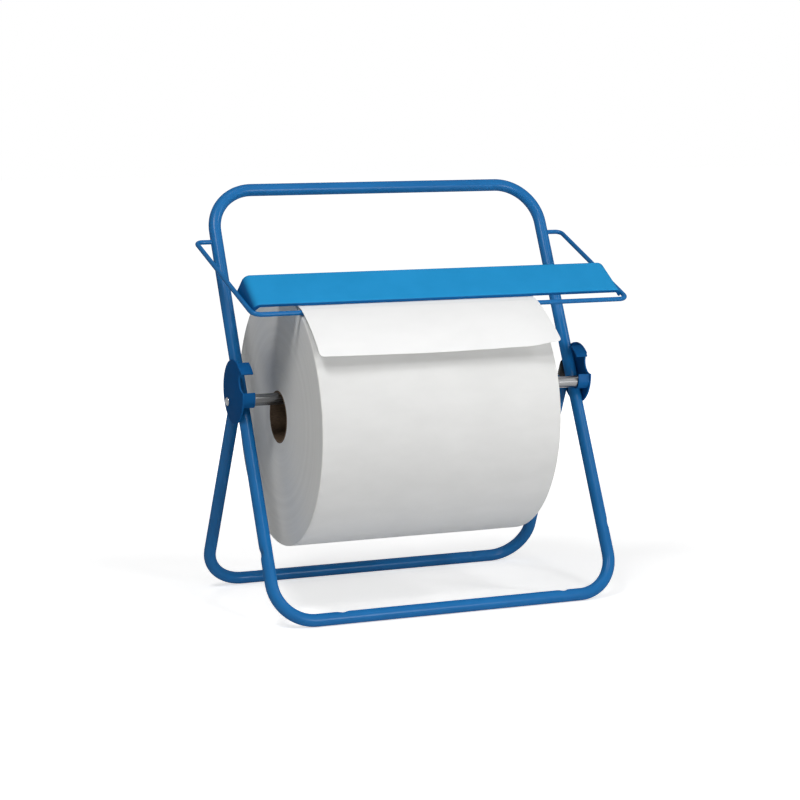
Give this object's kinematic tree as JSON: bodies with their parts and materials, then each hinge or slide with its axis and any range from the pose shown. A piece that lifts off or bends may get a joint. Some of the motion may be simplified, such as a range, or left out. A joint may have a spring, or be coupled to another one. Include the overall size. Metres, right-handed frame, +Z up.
{
  "type": "wiper roll dispenser stand",
  "caption": "Folding blue tube stand that carries a large wiper roll on a bright spindle between two hub brackets, with a lift-up wire bail and sheet-metal tear bar.",
  "frame": {"origin": "centre of the bounding box on the floor", "axes": "+Z up, -Y towards the front where the sheet is torn off, +X to the right seen from the front"},
  "size_m": [0.5234, 0.359, 0.5365],
  "materials": {
    "frame_paint": "satin",
    "bar_paint": "satin",
    "black_plastic": "matte",
    "bright_steel": "satin",
    "core_card": "matte",
    "wiper": "matte"
  },
  "bodies": {
    "frame": {"main_frame": "frame_paint", "hub_bracket_left": "frame_paint", "hub_bracket_right": "frame_paint", "pivot_rivet_left": "bright_steel", "pivot_rivet_right": "bright_steel", "pivot_washer_left": "bright_steel", "pivot_washer_right": "bright_steel"},
    "leg": {"rear_leg": "frame_paint", "leg_plug_left": "black_plastic", "leg_plug_right": "black_plastic"},
    "bail": {"bail_wire": "frame_paint", "tear_bar": "bar_paint", "paper_sheet": "wiper"},
    "spindle": {"spindle": "bright_steel"},
    "roll": {"roll_core": "core_card", "wiper_roll": "wiper"}
  },
  "joints": [
    {"name": "leg_fold", "type": "hinge", "parent": "frame", "child": "leg", "pos_m": [0, 0.03492, 0.265], "axis": [1, 0, 0], "range_deg": [-53.2, 0]},
    {"name": "bail_tilt", "type": "hinge", "parent": "frame", "child": "bail", "pos_m": [0, 0.09797, 0.46391], "axis": [1, 0, 0], "range_deg": [-115, 0]},
    {"name": "spindle_spin", "type": "hinge", "parent": "frame", "child": "spindle", "pos_m": [0, -0.01696, 0.27154], "axis": [1, 0, 0], "continuous": true},
    {"name": "roll_spin", "type": "hinge", "parent": "frame", "child": "roll", "pos_m": [0, -0.01696, 0.24839], "axis": [1, 0, 0], "continuous": true}
  ]
}
